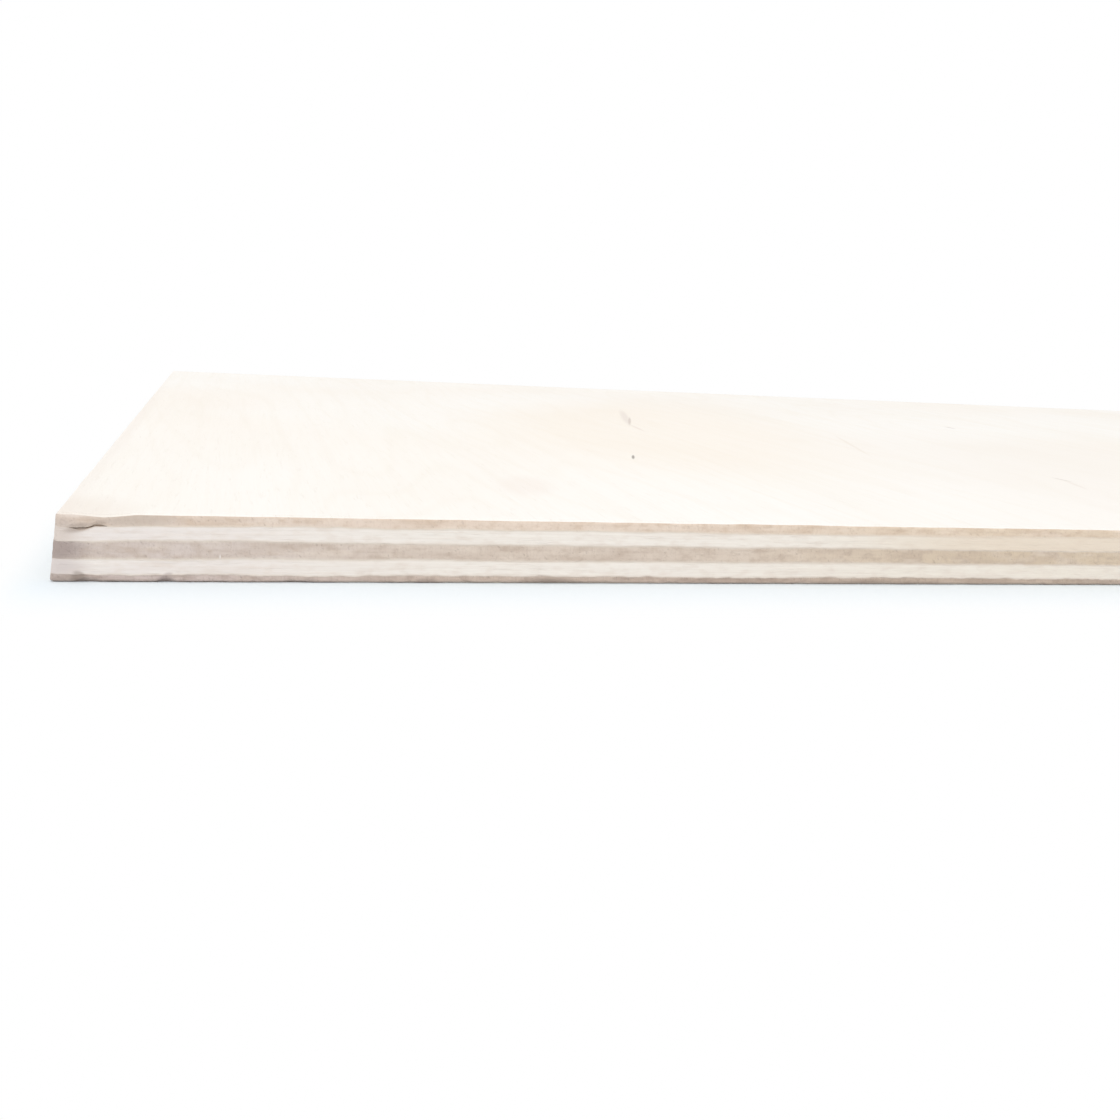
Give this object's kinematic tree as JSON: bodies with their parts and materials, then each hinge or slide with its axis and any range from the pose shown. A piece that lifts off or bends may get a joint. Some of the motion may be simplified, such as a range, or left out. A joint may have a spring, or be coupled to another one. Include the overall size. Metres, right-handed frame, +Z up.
{
  "type": "plywood sheet",
  "caption": "Flat rectangular sheet of thin birch plywood, sawn square, with cross-laid veneers showing on every edge and sanded faces.",
  "frame": {"origin": "centre of the sheet's underside", "axes": "+X along the longer, front edge, to the right; +Y along the face grain, away from the front edge; +Z up through the thickness"},
  "size_m": [0.297, 0.21, 0.0065],
  "materials": {
    "face_wood": "matte",
    "crossband_wood": "matte",
    "core_wood": "matte",
    "back_wood": "matte"
  },
  "bodies": {
    "root": {"face_veneer": "face_wood", "upper_crossband": "crossband_wood", "core_veneer": "core_wood", "lower_crossband": "crossband_wood", "back_veneer": "back_wood"}
  },
  "joints": []
}
